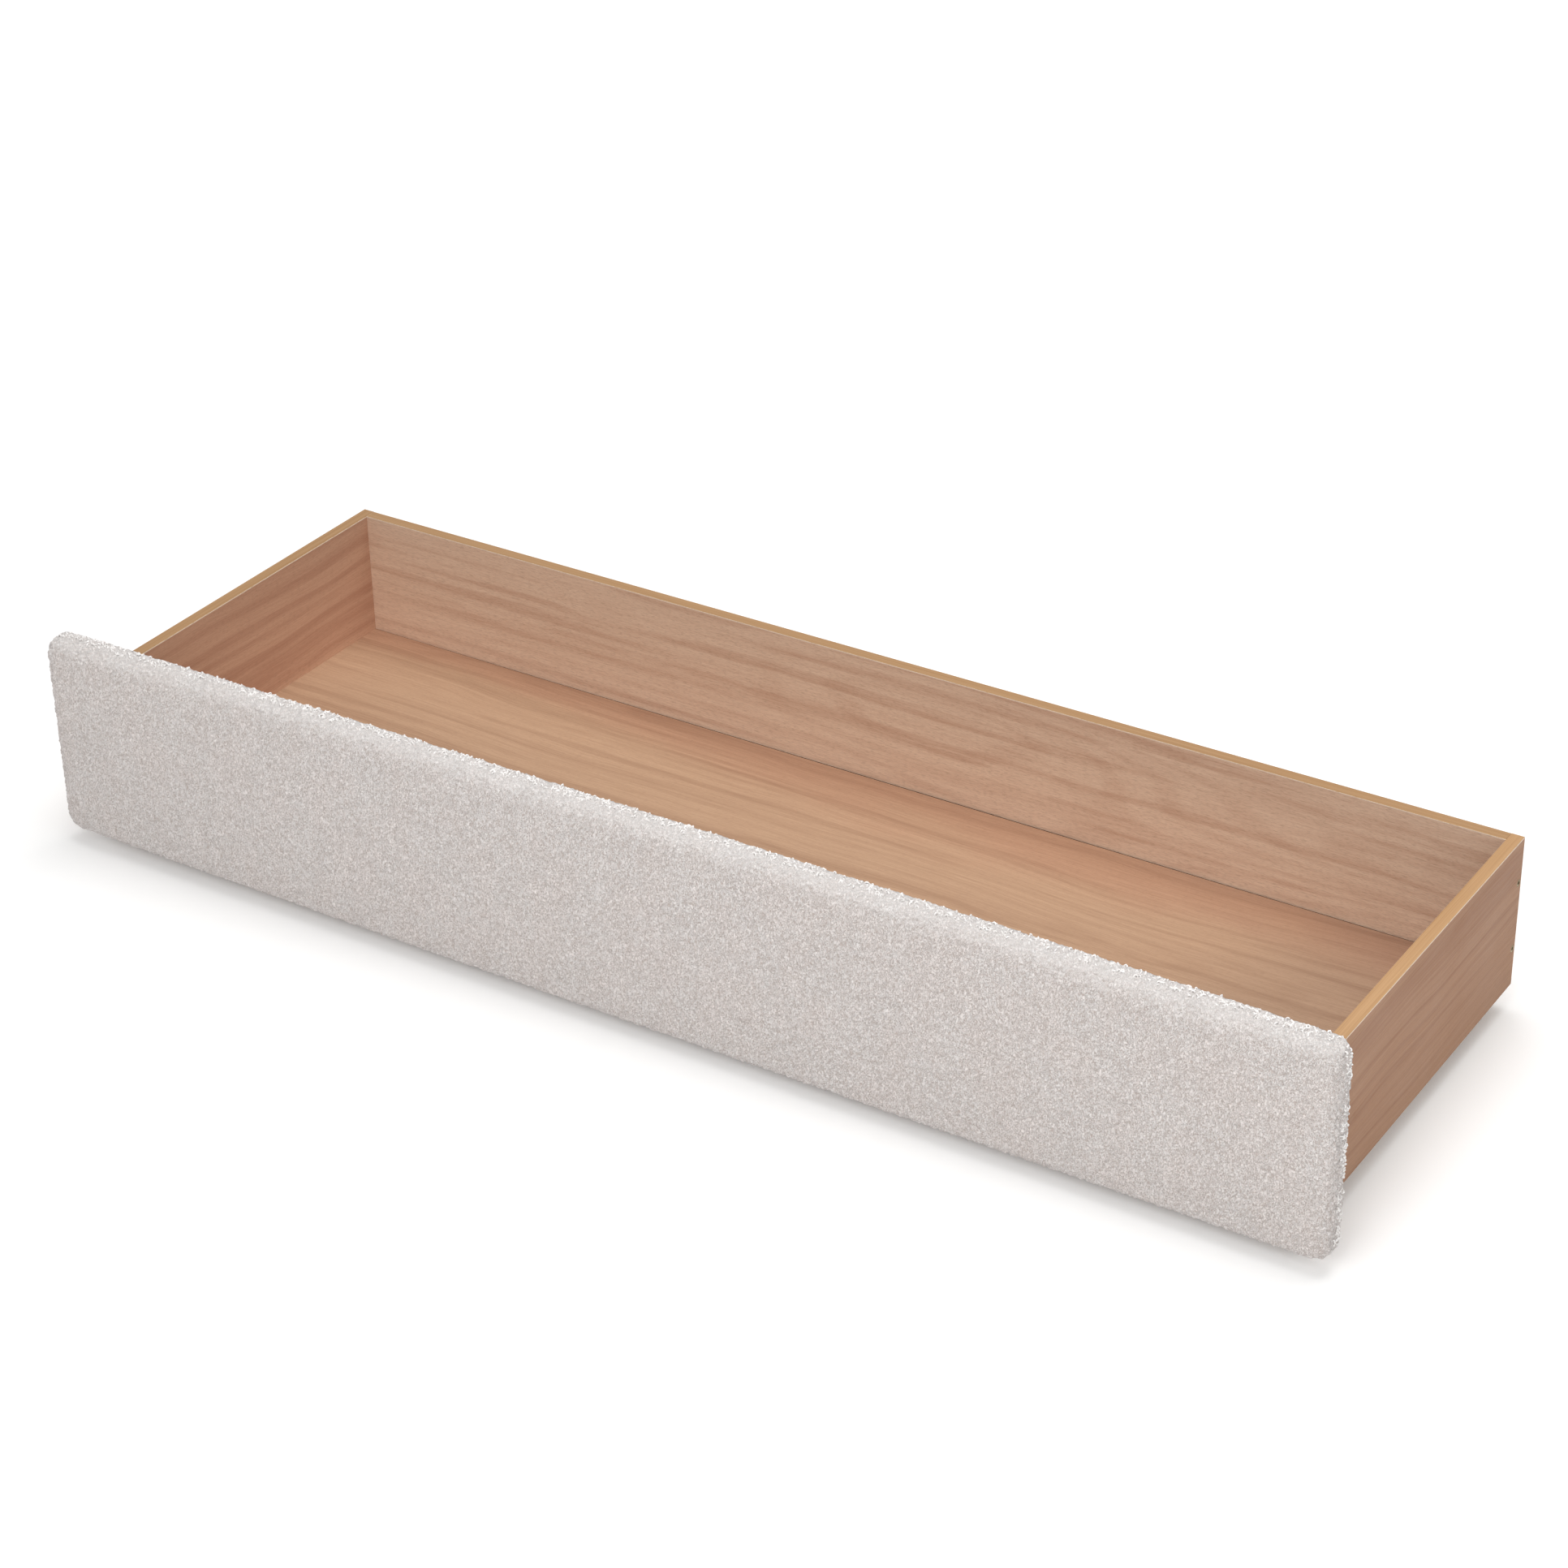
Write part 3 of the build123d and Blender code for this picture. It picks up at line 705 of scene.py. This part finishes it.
def pile_tree():
    """Curls and clumps stand up from the cloth, and their height is stored as pile."""
    swirls = 210.0
    bend = 0.009
    valley = 0.3
    sizes = dict.fromkeys(("Loop", "Clump", "Pile", "Fuzz", "Face", "Back"), "NodeSocketFloat")
    tree, given, leave = geometry_group("Boucle Pile", {**sizes, "Material": "NodeSocketMaterial"})
    at = add(tree, "GeometryNodeInputPosition").outputs[0]
    normal = add(tree, "GeometryNodeInputNormal").outputs[0]
    swirl = add(tree, "ShaderNodeTexNoise", {"Vector": at, "Scale": swirls, "Detail": 1.5}).outputs[1]
    offset = add(tree, "ShaderNodeVectorMath", {0: swirl, 1: (0.5, 0.5, 0.5)}, operation="SUBTRACT")
    bent = shifted(tree, at, stretched(tree, offset.outputs[0], (bend, bend, bend)))
    curls = voronoi(tree, bent, maths(tree, "DIVIDE", 1.0, given["Loop"])).outputs["Distance"]
    clumps = voronoi(tree, bent, maths(tree, "DIVIDE", 1.0, given["Clump"])).outputs["Distance"]
    curl = ramped(tree, curls, 0.1, 0.75, 1.0, 0.0, smooth=True)
    clump = ramped(tree, clumps, 0.1, 0.8, 1.0, 0.0, smooth=True)
    height = plus(tree, times(tree, curl, 0.6), times(tree, clump, 0.4))
    y = split(tree, at)[1]
    near_back = ramped(tree, minus(tree, given["Back"], y), 0.0005, 0.006, smooth=True)
    rise = times(tree, minus(tree, height, valley), given["Pile"])
    fuzz = ramped(tree, minus(tree, y, given["Face"]), 0.004, 0.014, smooth=True)
    rise = plus(tree, rise, times(tree, times(tree, fuzz, clump), given["Fuzz"]))
    push = add(tree, "ShaderNodeVectorMath", {0: normal, "Scale": rise}, operation="SCALE").outputs[0]
    push = stretched(tree, push, joined(tree, 1.0, near_back, 1.0))
    moved = add(tree, "GeometryNodeSetPosition", {"Geometry": given["Mesh"], "Offset": push}).outputs[0]
    close_tree(tree, leave, keep_value(tree, moved, "pile", height), given["Material"])
    return tree


def keep_value(tree, mesh, name, value):
    """Stores a value on the mesh's points for its material to read."""
    inputs = {"Geometry": mesh, "Name": name, "Value": value}
    return add(tree, "GeometryNodeStoreNamedAttribute", inputs).outputs[0]


def close_tree(tree, leave, mesh, material):
    real = add(tree, "GeometryNodeRealizeInstances", {0: mesh}).outputs[0]
    done = add(tree, "GeometryNodeSetMaterial", {"Geometry": real, "Material": material}).outputs[0]
    tree.links.new(done, leave.inputs[0])


def fringe_tree():
    """Loose yarn curls scattered on the padded edges, which give the cloth its fuzzy outline."""
    radius, stand = 0.42, 0.08  # shares of a loop: a curl's radius, and how far it stands off
    sweep, twist, tilt = math.radians(285), math.radians(40), 0.7
    smallest, largest = 1.0, 1.7
    labels = ("Density", "Loop", "Yarn", "Low", "High", "End", "Front", "Back")
    sizes = dict.fromkeys(labels, "NodeSocketFloat")
    tree, given, leave = geometry_group(
        "Boucle Fringe", {**sizes, "Seed": "NodeSocketInt", "Material": "NodeSocketMaterial"}
    )
    xyz = split(tree, add(tree, "GeometryNodeInputPosition").outputs[0])
    outside = maths(tree, "GREATER_THAN", xyz[2], given["High"])
    outside = maths(tree, "MAXIMUM", outside, maths(tree, "LESS_THAN", xyz[2], given["Low"]))
    far = maths(tree, "GREATER_THAN", maths(tree, "ABSOLUTE", xyz[0]), given["End"])
    outside = maths(tree, "MAXIMUM", outside, far)
    outside = times(tree, outside, maths(tree, "GREATER_THAN", xyz[1], given["Front"]))
    outside = times(tree, outside, maths(tree, "LESS_THAN", xyz[1], given["Back"]))
    density = times(tree, outside, given["Density"])
    scatter = {"Mesh": given["Mesh"], "Density": density, "Seed": given["Seed"]}
    points = add(tree, "GeometryNodeDistributePointsOnFaces", scatter).outputs
    ring = {"Resolution": 6, "Sweep Angle": sweep, "Radius": times(tree, given["Loop"], radius)}
    arc = add(tree, "GeometryNodeCurveArc", ring)
    section = {"Resolution": 4, "Radius": times(tree, given["Yarn"], 0.5)}
    yarn = add(tree, "GeometryNodeCurvePrimitiveCircle", section)
    loop = {"Curve": arc.outputs[0], "Profile Curve": yarn.outputs[0], "Fill Caps": True}
    curl = add(tree, "GeometryNodeCurveToMesh", loop).outputs[0]
    lift = joined(tree, z=times(tree, given["Loop"], stand))
    upright = {"Geometry": curl, "Translation": lift, "Rotation": (math.pi / 2, 0.0, twist)}
    curl = add(tree, "GeometryNodeTransform", upright).outputs[0]
    leaning = {0: (-tilt, -tilt, 0.0), 1: (tilt, tilt, 2 * math.pi), "Seed": given["Seed"]}
    turn = add(tree, "FunctionNodeRandomValue", leaning, data_type="FLOAT_VECTOR").outputs[0]
    turn = add(tree, "FunctionNodeEulerToRotation", {0: turn}).outputs[0]
    lean = {"Rotation": points["Rotation"], "Rotate By": turn}
    lean = add(tree, "FunctionNodeRotateRotation", lean, rotation_space="LOCAL").outputs[0]
    sized = {2: smallest, 3: largest, "Seed": given["Seed"]}
    size = add(tree, "FunctionNodeRandomValue", sized, data_type="FLOAT").outputs[1]
    placed = {"Points": points["Points"], "Instance": curl, "Rotation": lean, "Scale": size}
    placed = add(tree, "GeometryNodeInstanceOnPoints", placed).outputs[0]
    curls = add(tree, "GeometryNodeRealizeInstances", {0: placed}).outputs[0]
    marked = keep_value(tree, keep_value(tree, curls, "pile", 1.0), "loose", 1.0)
    close_tree(tree, leave, marked, given["Material"])
    return tree


# ---------------------------------------------------------------- padded front


def padding_shape(name, low, high, corner, edge, back_edge):
    """A padded block before it swells: rounded corners, soft front edges and tighter edges on the back."""
    bm = bmesh.new()
    bmesh.ops.create_cube(bm, size=1.0)
    size, middle = high - low, (low + high) / 2
    for v in bm.verts:
        v.co = Vector(v.co[i] * size[i] + middle[i] for i in range(3))
    upright = [e for e in bm.edges if abs(e.verts[0].co.y - e.verts[1].co.y) > size.y / 2]
    bmesh.ops.bevel(bm, geom=upright, offset=corner, segments=8, profile=0.5, affect="EDGES")
    for y, radius in ((low.y, edge), (high.y, back_edge)):
        ring = [e for e in bm.edges if all(abs(v.co.y - y) < 1e-6 for v in e.verts)]
        bmesh.ops.bevel(bm, geom=ring, offset=radius, segments=8, profile=0.5, affect="EDGES")
    return new_piece(name, bm)


def crown(piece, low, high, rise):
    """Bows the two long edges outwards towards their middle."""
    points = corners(piece.data)
    middle, half = (low + high) / 2, (high - low) / 2
    along = (points[:, 0] - middle.x) / half.x
    up = (points[:, 2] - middle.z) / half.z
    points[:, 2] += rise * (1.0 - along**2) * np.sign(up) * np.abs(up) ** 3
    piece.data.vertices.foreach_set("co", points.ravel())


def simulate(piece, settings, back):
    """The padding swells under its cloth, held at the stapled back, and no point moves too far."""
    rest = corners(piece.data)
    normals = np.empty(rest.size)
    piece.data.vertex_normals.foreach_get("vector", normals)
    normals = normals.reshape(-1, 3)
    held = piece.vertex_groups.new(name="stapled")
    held.add([int(i) for i in np.nonzero(rest[:, 1] > back - 2 * settings.voxel)[0]], 1.0, "REPLACE")
    cloth = piece.modifiers.new("Swell", "CLOTH")
    cloth.settings.vertex_group_mass = held.name
    cloth.settings.use_pressure = True
    cloth.settings.uniform_pressure_force = settings.pressure
    cloth.settings.effector_weights.gravity = 0.0
    cloth.point_cache.frame_start, cloth.point_cache.frame_end = 1, settings.frames
    for step in range(1, settings.frames + 1):
        bpy.context.scene.frame_set(step)
    settle(piece)
    bpy.context.scene.frame_set(1)
    outwards = ((corners(piece.data) - rest) * normals).sum(axis=1)
    outwards = eased(piece.data, np.clip(outwards, -settings.sink, settings.swell), settings.ease)
    piece.data.vertices.foreach_set("co", (rest + normals * outwards[:, None]).ravel())


def eased(mesh, values, rounds):
    """Each point's value becomes the mean of its neighbours', so that no crease is left."""
    ends = np.empty(len(mesh.edges) * 2, dtype=int)
    mesh.edges.foreach_get("vertices", ends)
    one, two = ends.reshape(-1, 2).T
    count = np.bincount(ends)
    for _ in range(rounds):
        total = np.bincount(one, values[two], len(count)) + np.bincount(two, values[one], len(count))
        values = total / count
    return values


def refine(piece, back, margin):
    """Halves the faces that carry visible pile and leaves those on the back coarse."""
    bm = bmesh.new()
    bm.from_mesh(piece.data)
    chosen = {e for f in bm.faces if f.calc_center_median().y < back - margin for e in f.edges}
    bmesh.ops.subdivide_edges(bm, edges=list(chosen), cuts=1, use_grid_fill=True)
    bm.to_mesh(piece.data)
    bm.free()


def flatten(piece, back):
    """Presses the back flat against the lining's plane, which leaves its edges crisp."""
    points = corners(piece.data)
    points[:, 1] = np.minimum(points[:, 1], back)
    piece.data.vertices.foreach_set("co", points.ravel())


def voxelled(piece, size):
    modifier = piece.modifiers.new("Voxels", "REMESH")
    modifier.mode = "VOXEL"
    modifier.voxel_size = size
    return settle(piece)


def subdivided(piece):
    modifier = piece.modifiers.new("Round", "SUBSURF")
    modifier.levels = modifier.render_levels = 1
    return settle(piece)


# ---------------------------------------------------------------- operators


class UNDERBED_OT_boards(bpy.types.Operator):
    """Gives the five boards their beech decor, with raw chips on the uncovered ends"""

    bl_idname = "underbed.boards"
    bl_label = "Boards"

    def execute(self, context):
        settings = context.scene.under_bed_box.board
        for index, node in enumerate(BOARDS):
            dress(node, board_material(node, settings, (0.37 * index, 0.11 * index, 0.23 * index)))
        dress("bottom_dowels", wood_material("Dowel Beech", (0.60, 0.44, 0.28), (0.50, 0.34, 0.20)))
        return {"FINISHED"}


class UNDERBED_OT_edge_bands(bpy.types.Operator):
    """Builds the edge bands on the top edges, trimmed to a small bevel on both sides"""

    bl_idname = "underbed.edge_bands"
    bl_label = "Edge Bands"

    def execute(self, context):
        settings = context.scene.under_bed_box.band
        for node in BANDS:
            low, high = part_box(node)
            along_y = high.y - low.y > high.x - low.x
            piece = new_piece(node + "_strip", self.strip(low, high, along_y, settings))
            cut = piece.data.attributes.new("cut", "FLOAT", "FACE")
            nearly_flat, nearly_upright = 0.99, 0.1
            slopes = [abs(f.normal.z) for f in piece.data.polygons]
            cut.data.foreach_set("value", [float(nearly_upright < z < nearly_flat) for z in slopes])
            gain = settings.right_gain if node.endswith("right") else 1.0
            honey = band_material(settings, node, along_y, gain)
            finish_piece(piece, [node], honey, smooth=False)
        return {"FINISHED"}

    def strip(self, low, high, along_y, settings):
        """A strip as long as the board, its section a low trapezium, cut into short lengths."""
        across = "x" if along_y else "y"
        along = "y" if along_y else "x"
        bevel, shoulder = settings.bevel, high.z - settings.trimmed * (high.z - low.z)
        a, b = getattr(low, across), getattr(high, across)
        section = [(a, low.z), (a, shoulder), (a + bevel, high.z)]
        section += [(b - bevel, high.z), (b, shoulder), (b, low.z)]
        start, end = getattr(low, along), getattr(high, along)
        steps = max(2, round((end - start) / settings.step))
        bm = bmesh.new()
        rings = []
        for i in range(steps + 1):
            s = start + (end - start) * i / steps
            rings.append([bm.verts.new((p, s, z) if along_y else (s, p, z)) for p, z in section])
        count = len(section)
        for one, two in zip(rings, rings[1:]):
            for i in range(count):
                bm.faces.new((one[i], one[(i + 1) % count], two[(i + 1) % count], two[i]))
        bm.faces.new(rings[0])
        bm.faces.new(reversed(rings[-1]))
        return bm


class UNDERBED_OT_padded_front(bpy.types.Operator):
    """Builds the padded front: its cover swells by cloth simulation and carries a curly pile"""

    bl_idname = "underbed.padded_front"
    bl_label = "Padded Front"

    def execute(self, context):
        settings = context.scene.under_bed_box.front
        finish = boucle_material(settings)
        self.cover(settings, finish)
        self.foam(settings)
        dress("front_board", chipboard_material(context.scene.under_bed_box.board))
        return {"FINISHED"}

    def cover(self, settings, finish):
        low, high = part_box("front_cover")
        start = Vector((low.x, low.y + settings.slack, low.z))
        end = Vector((high.x, high.y + settings.overlap, high.z))
        radii = (settings.corner, settings.edge, settings.back_edge)
        block = padding_shape("front_padding", start, end, *radii)
        piece = voxelled(block, settings.voxel)
        crown(piece, low, high, settings.crown)
        simulate(piece, settings, high.y)
        subdivided(piece)
        refine(piece, high.y, settings.margin)
        flatten(piece, high.y)
        smooth_mesh = piece.data.copy()
        values = {
            "Loop": settings.loop,
            "Clump": settings.clump,
            "Pile": settings.pile,
            "Fuzz": settings.fuzz,
            "Face": low.y,
            "Back": high.y,
        }
        run_nodes(piece, pile_tree(), {**values, "Material": finish})
        finish_piece(piece, ["front_cover"], finish)
        fringe = bpy.data.objects.new("front_fringe", smooth_mesh)
        bpy.context.scene.collection.objects.link(fringe)
        values = {
            "Density": settings.fringe,
            "Loop": settings.loop,
            "Yarn": settings.yarn,
            "Low": low.z + settings.edge,
            "High": high.z - settings.edge,
            "End": high.x - settings.edge,
            "Front": high.y - settings.edge,
            "Back": high.y - settings.pile,
            "Seed": settings.seed,
        }
        run_nodes(fringe, fringe_tree(), {**values, "Material": finish})
        fringe.data.shade_smooth()
        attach(fringe, BODY)

    def foam(self, settings):
        low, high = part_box("front_foam")
        inset = Vector((1, 1, 1)) * settings.inset
        low, high = low + inset, Vector((high.x - inset.x, high.y, high.z - inset.z))
        radii = (settings.corner, settings.edge, settings.foam_edge)
        block = padding_shape("front_foam_pad", low, high, *radii)
        piece = voxelled(block, settings.voxel)
        finish_piece(piece, ["front_foam"], foam_material())


class UNDERBED_OT_lining(bpy.types.Operator):
    """Stretches the lining cloth over the back of the front"""

    bl_idname = "underbed.lining"
    bl_label = "Lining"

    def execute(self, context):
        settings = context.scene.under_bed_box.lining
        low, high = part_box("front_lining")
        size = (high.x - low.x, high.z - low.z)
        across, up = (round(side / settings.pitch) for side in size)
        bm = bmesh.new()
        grid = bmesh.ops.create_grid(bm, x_segments=across, y_segments=up, size=0.5)["verts"]
        for v in grid:
            x = low.x + (v.co.x + 0.5) * size[0]
            z = low.z + (v.co.y + 0.5) * size[1]
            v.co = Vector((x, low.y + settings.lift, z))
        piece = new_piece("front_lining_cloth", bm)
        wall = piece.modifiers.new("Cloth", "SOLIDIFY")
        wall.thickness, wall.offset = settings.wall, 0.0
        settle(piece)
        finish_piece(piece, ["front_lining"], lining_material())
        return {"FINISHED"}


class UNDERBED_OT_fasteners(bpy.types.Operator):
    """Gives the screws and staples their plated finish"""

    bl_idname = "underbed.fasteners"
    bl_label = "Fasteners"

    def execute(self, context):
        zinc = metal_material("Yellow Zinc", (0.36, 0.27, 0.145), (0.17, 0.12, 0.065), 0.35, 0.60)
        wire = metal_material("Staple Wire", (0.62, 0.62, 0.63), (0.42, 0.42, 0.43), 0.25, 0.42)
        for node in ("confirmat_screws", "front_screws", "castor_screws"):
            dress(node, zinc)
        for node in ("cover_staples", "lining_staples"):
            dress(node, wire)
        return {"FINISHED"}


class UNDERBED_OT_castors(bpy.types.Operator):
    """Gives the castors their pressed steel, plastic and soft treads"""

    bl_idname = "underbed.castors"
    bl_label = "Castors"

    def execute(self, context):
        steel = metal_material("Pressed Steel", (0.60, 0.61, 0.63), (0.42, 0.42, 0.42), 0.26, 0.48)
        plastic = moulded_material("Wheel Plastic", (0.035, 0.035, 0.038), (0.12, 0.115, 0.11), 0.38, 0.62)
        tread = moulded_material("Grey Tread", (0.20, 0.20, 0.21), (0.34, 0.33, 0.31), 0.55, 0.80, 1800.0)
        finishes = {"fork": steel, "axle": steel, "wheel": plastic, "tread": tread}
        for place in CASTORS:
            for part, finish in finishes.items():
                dress(f"castor_{part}_{place}", finish)
        return {"FINISHED"}


class UNDERBED_OT_stage(bpy.types.Operator):
    """Sets up the pale floor, the soft lights and the camera"""

    bl_idname = "underbed.stage"
    bl_label = "Stage"

    def execute(self, context):
        settings = context.scene.under_bed_box.stage
        self.floor(settings)
        self.lights(context, settings)
        self.camera(context, settings)
        context.scene.view_settings.view_transform = "Standard"
        return {"FINISHED"}

    def floor(self, settings):
        bm = bmesh.new()
        bmesh.ops.create_grid(bm, x_segments=8, y_segments=8, size=settings.reach)
        floor = new_piece("studio_floor", bm)
        material, tree, bsdf = new_material("Studio Floor", Roughness=0.9, Specular_IOR_Level=0.1)
        at = places(tree)
        mottle = ramped(tree, noise(tree, at, 3.0, 2.0), 0.3, 0.7, 0.0, 0.04)
        tone = mixed(tree, mottle, rgba(settings.floor), (0.85, 0.85, 0.85, 1))
        tree.links.new(tone, bsdf.inputs["Base Color"])
        away = add(tree, "ShaderNodeVectorMath", {0: at}, operation="LENGTH").outputs["Value"]
        glow = ramped(tree, away, 0.9, 3.2, 0.12, settings.glow, smooth=True)
        tree.links.new(grey(tree, glow), bsdf.inputs["Emission Color"])
        bsdf.inputs["Emission Strength"].default_value = 1.0
        floor.data.materials.append(material)

    def lights(self, context, settings):
        world = bpy.data.worlds.new("Studio")
        world.use_nodes = True
        background = world.node_tree.nodes["Background"]
        seen = world.node_tree.nodes.new("ShaderNodeLightPath").outputs["Is Camera Ray"]
        glow = ramped(world.node_tree, seen, 0.0, 1.0, settings.world, 1.0)
        world.node_tree.links.new(glow, background.inputs["Strength"])
        background.inputs["Color"].default_value = (1, 1, 1, 1)
        context.scene.world = world
        soft = (
            ("key_light", (0.3, -3.2, 2.6), 2.4, settings.key),
            ("side_light", (1.4, -2.8, 2.4), 1.6, settings.side),
            ("right_light", (3.0, -1.0, 1.6), 1.4, settings.right),
            ("top_light", (0.2, 0.4, 3.4), 3.0, settings.top),
        )
        for name, place, size, power in soft:
            light = bpy.data.lights.new(name, "AREA")
            light.size, light.energy = size, power
            lamp = bpy.data.objects.new(name, light)
            lamp.location = place
            lamp.rotation_euler = (Vector((0, 0, 0.1)) - Vector(place)).to_track_quat("-Z", "Y").to_euler()
            context.scene.collection.objects.link(lamp)

    def camera(self, context, settings):
        camera = bpy.data.objects.new("camera", bpy.data.cameras.new("camera"))
        context.scene.collection.objects.link(camera)
        a, e = math.radians(settings.azimuth), math.radians(settings.elevation)
        back = Vector((math.sin(a) * math.cos(e), -math.cos(a) * math.cos(e), math.sin(e)))
        turn = Quaternion((0, 0, 1), math.radians(settings.roll))
        camera.rotation_mode = "QUATERNION"
        camera.location = Vector(settings.target) + back * settings.distance
        camera.rotation_quaternion = (-back).to_track_quat("-Z", "Y") @ turn
        camera.data.sensor_width, camera.data.lens = 36.0, settings.lens
        camera.data.clip_start, camera.data.clip_end = 0.05, 100.0
        context.scene.camera = camera


class UNDERBED_PT_panel(bpy.types.Panel):
    """Steps that build the under bed box"""

    bl_idname = "UNDERBED_PT_panel"
    bl_label = "Under Bed Box"
    bl_space_type = "VIEW_3D"
    bl_region_type = "UI"
    bl_category = "Under Bed Box"

    def draw(self, context):
        for operator in OPERATORS:
            self.layout.operator(operator.bl_idname)


OPERATORS = (
    UNDERBED_OT_boards,
    UNDERBED_OT_edge_bands,
    UNDERBED_OT_padded_front,
    UNDERBED_OT_lining,
    UNDERBED_OT_fasteners,
    UNDERBED_OT_castors,
    UNDERBED_OT_stage,
)
SETTINGS = (
    BoardSettings,
    BandSettings,
    FrontSettings,
    LiningSettings,
    StageSettings,
    UnderBedBoxSettings,
)


def register():
    for cls in (*SETTINGS, *OPERATORS, UNDERBED_PT_panel):
        bpy.utils.register_class(cls)
    bpy.types.Scene.under_bed_box = PointerProperty(type=UnderBedBoxSettings)


def unregister():
    del bpy.types.Scene.under_bed_box
    for cls in reversed((*SETTINGS, *OPERATORS, UNDERBED_PT_panel)):
        bpy.utils.unregister_class(cls)


def main():
    register()
    bpy.ops.underbed.boards()
    bpy.ops.underbed.edge_bands()
    bpy.ops.underbed.padded_front()
    bpy.ops.underbed.lining()
    bpy.ops.underbed.fasteners()
    bpy.ops.underbed.castors()
    bpy.ops.underbed.stage()


if __name__ == "__main__":
    main()
